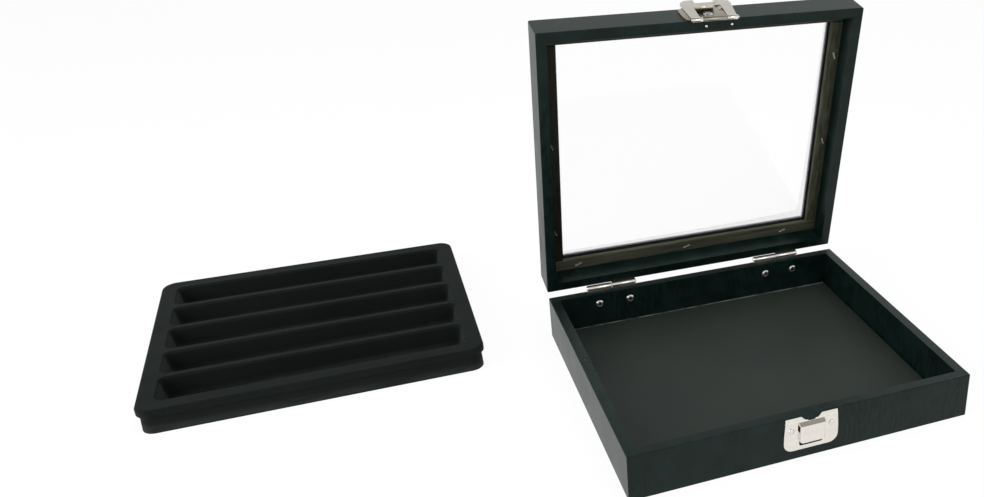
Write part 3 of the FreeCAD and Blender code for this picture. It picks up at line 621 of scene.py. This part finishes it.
CLOTH = GrainedCloth()
FLOOR_PAPER = FloorBoard()
BARE_BOARD = PressedFibre(
    "bare_board",
    Shades((0.10, 0.070, 0.042), (0.17, 0.125, 0.080)),
    Grain(900, 6, EVEN, 0.7),
    Relief(0.00010, 0.5),
    0.78,
)
# Near-black board for the lid's rails.
NEAR_BLACK_BOARD = PressedFibre(
    "near_black_board",
    Shades((0.006, 0.007, 0.006), (0.014, 0.015, 0.012)),
    Grain(900, 6, EVEN, 0.7),
    Relief(0.00010, 0.5),
    0.78,
)
LINER_CORE = PressedFibre(
    "liner_core",
    Shades((0.06, 0.064, 0.06), (0.26, 0.26, 0.25)),
    Grain(160, 5),
    Relief(0.00005, 0.4),
    0.85,
)
# Painted shade: a darker copy of the strip stain, for the left strip, which lies in shade.
PAINTED_SHADE_STAIN = Shades((0.008, 0.009, 0.006), (0.026, 0.026, 0.018), (0.3, 0.7))
NICKEL = BrightMetal()
# Painted shade: a darker, rougher copy of the nickel for the lid's clasp plate, which lies in the
# hasp's shade.
PAINTED_SHADE_NICKEL = BrightMetal("nickel_painted_shade", (0.36, 0.33, 0.275), (0.20, 0.32))
BRIGHT_WIRE = BrightMetal("bright_wire", (0.74, 0.72, 0.68), (0.16, 0.30), EVEN)
STAPLE_WIRE = BrightMetal("staple_wire", (0.96, 0.96, 0.93), (0.42, 0.55), EVEN)
GLASS = ClearGlass()
TRAY_FLOCK = Flock()
SWEEP = PlainFloor()


def dress(names: Iterable[str], material: bpy.types.Material, nodes: Nodes) -> None:
    """Give CAD nodes their finish.

    Args:
        names: the nodes' names.
        material: the finish.
        nodes: the frame's nodes by name.
    """
    for name in names:
        node = nodes[name]
        if not node.material_slots:
            node.data.materials.append(material)
        for material_slot in node.material_slots:
            material_slot.link = "OBJECT"
            material_slot.material = material
        log.info("dressed %s in %s", name, material.name)


def soften(names: Iterable[str], radius: float, nodes: Nodes, segments: int) -> None:
    """Join the doubled points of CAD nodes, and round their sharp edges.

    Args:
        names: the nodes' names.
        radius: radius in metres.
        nodes: the frame's nodes by name.
        segments: steps across the rounding.
    """
    for name in names:
        weld = nodes[name].modifiers.new("weld", "WELD")
        weld.merge_threshold = WELD_DISTANCE
        bevel = nodes[name].modifiers.new("soft_edges", "BEVEL")
        bevel.width = radius
        bevel.segments = segments
        bevel.limit_method = "ANGLE"
        bevel.angle_limit = SHARP_ANGLE
        bevel.use_clamp_overlap = True
        bevel.harden_normals = True


def strip_piece(name: str, low: Place, high: Place, material: bpy.types.Material,
                body: str) -> None:
    """Make a small square-edged strip that rides on a body.

    Args:
        name: the piece's name.
        low: its lowest corner, in millimetres.
        high: its highest corner, in millimetres.
        material: its finish.
        body: the body that it rides on.
    """
    mesh = bpy.data.meshes.new(name)
    build = bmesh.new()
    bmesh.ops.create_cube(build, size=1.0)
    centre = [(a + b) / 2 * MM for a, b in zip(low, high)]
    size = [(b - a) * MM for a, b in zip(low, high)]
    bmesh.ops.scale(build, vec=size, verts=build.verts)
    bmesh.ops.translate(build, vec=centre, verts=build.verts)
    build.to_mesh(mesh)
    build.free()
    mesh.materials.append(material)
    piece = bpy.data.objects.new(name, mesh)
    bpy.context.collection.objects.link(piece)
    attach(piece, body)
    log.info("made %s", name)


@dataclass
class WrappedCase:
    """The base and the lid's frame: covered boards, floor pad, strips and pane.

    The sizes are in millimetres.
    """

    nodes: Nodes
    pad_half: Pair = (98.3, 85.3)
    pad_top: float = 4.8
    liner_gap: float = 0.02
    liner_thickness: float = 0.24
    liner_rise: float = 0.24
    liner_inset: float = 1.0
    liner_sunk: float = 1.0

    def build(self) -> None:
        """Dress every node of the case's body and lid."""
        dress(["base_covering", "lid_covering"], CLOTH.build(), self.nodes)
        dress([f"base_{side}_wall" for side in STRIP_RUNS], BARE_BOARD.build(), self.nodes)
        dress([f"lid_{side}_rail" for side in STRIP_RUNS], NEAR_BLACK_BOARD.build(), self.nodes)
        dress(["bottom_panel", "floor_pad"], FLOOR_PAPER.build(), self.nodes)
        self.liner_edge()
        self.strips()
        dress(["window_glass"], GLASS.build(), self.nodes)

    def strips(self) -> None:
        """Dress the strips behind the pane, each with its own run of grain, the left one darkened
        with painted shade.
        """
        for side, along in STRIP_RUNS.items():
            finish = StainedStrip(f"strip_stain_{side}", along)
            # painted shade: the left strip takes the darker copy of the stain
            if side == "left":
                finish = StainedStrip(finish.name, along, PAINTED_SHADE_STAIN)
            dress([f"retainer_{side}"], finish.build(), self.nodes)

    def liner_edge(self) -> None:
        """Stand the liner's pale edge between the floor pad and the back wall."""
        half_x, half_y = self.pad_half
        near = half_y + self.liner_gap
        low = (self.liner_inset - half_x, near, self.pad_top - self.liner_sunk)
        high = (half_x - self.liner_inset, near + self.liner_thickness,
                self.pad_top + self.liner_rise)
        strip_piece("floor_liner_edge", low, high, LINER_CORE.build(), "base")


@dataclass
class Fittings:
    """Hinges, clasp, brads and staples."""

    nodes: Nodes
    edge: float = 0.12 * MM
    head_edge: float = 0.24 * MM
    sheet_steps: int = 2
    head_steps: int = 3
    head_ends: tuple[str, ...] = ("brads", "rivets", "tacks")
    bright_sides: tuple[str, ...] = ("front", "right", "back")

    def build(self) -> None:
        """Dress every metal node, and soften the edges of the sheets and the heads."""
        self.sheets()
        self.small_parts()

    def sheets(self) -> None:
        """Dress and soften the plates, the hasp and the hinges' leaves, with painted shade on the
        lid's clasp plate.
        """
        leaves = [name for name in self.nodes if name.startswith("hinge_") and "leaf" in name]
        bright = ["keeper_plate", "hasp", *leaves]
        # painted shade: the clasp plate under the hasp takes the darker nickel
        darkened = ["lid_clasp_plate"]
        dress(bright, NICKEL.build(), self.nodes)
        dress(darkened, PAINTED_SHADE_NICKEL.build(), self.nodes)
        soften(bright + darkened, self.edge, self.nodes, self.sheet_steps)

    def small_parts(self) -> None:
        """Dress the brads, rivets, tacks, pins and staples, and round the heads."""
        heads = [name for name in self.nodes if name.endswith(self.head_ends)]
        pins = [name for name in self.nodes if name.startswith("hinge_pin") or name == "hasp_pin"]
        bright_staples = [f"retainer_staples_{side}" for side in self.bright_sides]
        wire = BRIGHT_WIRE.build()
        dress([*heads, *pins, "retainer_staples_left"], wire, self.nodes)
        dress(bright_staples, STAPLE_WIRE.build(), self.nodes)
        soften(heads, self.head_edge, self.nodes, self.head_steps)


@dataclass
class FormedTray:
    """The lift-out tray, with its flocked skin."""

    nodes: Nodes
    edge: float = 0.9 * MM
    steps: int = 3

    def build(self) -> None:
        """Dress the tray and round its ridges."""
        dress(["insert_tray"], TRAY_FLOCK.build(), self.nodes)
        soften(["insert_tray"], self.edge, self.nodes, self.steps)


@dataclass(frozen=True)
class SoftLamp:
    """Square soft lamp: place, aim and width in metres, power in watts."""

    name: str
    place: Place
    aim: Place
    width: float
    watts: float
    in_mirrors: bool = True

    def hang(self) -> None:
        """Add the lamp to the scene."""
        data = bpy.data.lights.new(self.name, "AREA")
        data.size = self.width
        data.energy = self.watts
        lamp = bpy.data.objects.new(self.name, data)
        bpy.context.collection.objects.link(lamp)
        lamp.location = self.place
        towards = Vector(self.aim) - Vector(self.place)
        lamp.rotation_euler = towards.to_track_quat("-Z", "Y").to_euler()
        lamp.visible_glossy = self.in_mirrors
        log.info("hung %s", self.name)


@dataclass
class Studio:
    """White floor, pale room, soft lamps, and the camera at the photographed view."""

    floor_size: float = 12.0
    room_light: float = 0.32
    wall_top: float = 0.45
    ceiling_light: float = 0.22
    lamps: tuple[SoftLamp, ...] = (
        SoftLamp("overhead_box", (0.1, -0.1, 1.5), (0, 0, 0), 1.4, 11, in_mirrors=False),
        SoftLamp("left_box", (-1.4, -0.3, 0.7), (0, 0, 0.05), 0.9, 10),
        SoftLamp("front_box", (0.5, -1.5, 0.9), (0, 0, 0.05), 0.7, 3),
    )
    frame_width: float = 984.0
    frame_centre: Pair = (492.0, 248.5)
    principal_point: Pair = (755.87, 249.12)
    focal_pixels: float = 984.25
    sensor: float = 36.0
    near_clip: float = 0.01
    camera_place: Place = (-0.2082, -0.4920, 0.3459)
    right: Place = (0.92005, -0.39152, 0.01484)
    down: Place = (-0.15797, -0.40534, -0.90041)
    ahead: Place = (0.35855, 0.82608, -0.43478)

    def build(self) -> None:
        """Make the floor, the room, the lamps and the camera."""
        self.sweep()
        self.room()
        for lamp in self.lamps:
            lamp.hang()
        self.camera()
        bpy.context.scene.view_settings.view_transform = "Standard"

    def sweep(self) -> None:
        """Lay the floor under the object."""
        bpy.ops.mesh.primitive_plane_add(size=self.floor_size, location=(0, 0, 0))
        floor = bpy.context.object
        floor.name = "floor_sweep"
        floor.data.materials.append(SWEEP.build())
        log.info("laid the floor")

    def room(self) -> None:
        """Set a pale world: even as light, and darker towards the ceiling where it is seen."""
        world = bpy.data.worlds.new("pale_room")
        bpy.context.scene.world = world
        world.use_nodes = True
        tree = world.node_tree
        background = tree.nodes["Background"]
        node_input(background, "Color", WHITE)
        direction = tree.nodes.new("ShaderNodeTexCoord").outputs["Generated"]
        upward = height_of(tree, direction)
        ceiling = remap(tree, upward, (self.wall_top, 1.0), (1.0, self.ceiling_light))
        direct = seen_directly(tree)
        shown = math_node(tree, "MULTIPLY", direct, ceiling)
        indirect = math_node(tree, "SUBTRACT", 1.0, direct)
        lighting = math_node(tree, "MULTIPLY", indirect, self.room_light)
        strength = math_node(tree, "ADD", shown, lighting)
        tree.links.new(strength, background.inputs["Strength"])

    def camera(self) -> None:
        """Set the camera where the photograph was taken from."""
        centre_x, centre_y = self.frame_centre
        point_x, point_y = self.principal_point
        data = bpy.data.cameras.new("photo_camera")
        data.sensor_width = self.sensor
        data.lens = self.sensor * self.focal_pixels / self.frame_width
        data.shift_x = (centre_x - point_x) / self.frame_width
        data.shift_y = (point_y - centre_y) / self.frame_width
        data.clip_start = self.near_clip
        camera = bpy.data.objects.new("photo_camera", data)
        bpy.context.collection.objects.link(camera)
        rows = (Vector(self.right), -Vector(self.down), -Vector(self.ahead))
        axes = Matrix(rows).transposed()
        camera.matrix_world = Matrix.Translation(self.camera_place) @ axes.to_4x4()
        bpy.context.scene.camera = camera


def main() -> None:
    """Load the frame, dress the object, and set the stage."""
    logging.basicConfig(level=logging.INFO, format="%(name)s %(message)s")
    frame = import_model()
    nodes = frame["nodes"]
    WrappedCase(nodes).build()
    Fittings(nodes).build()
    FormedTray(nodes).build()
    Studio().build()


if __name__ == "__main__":
    main()
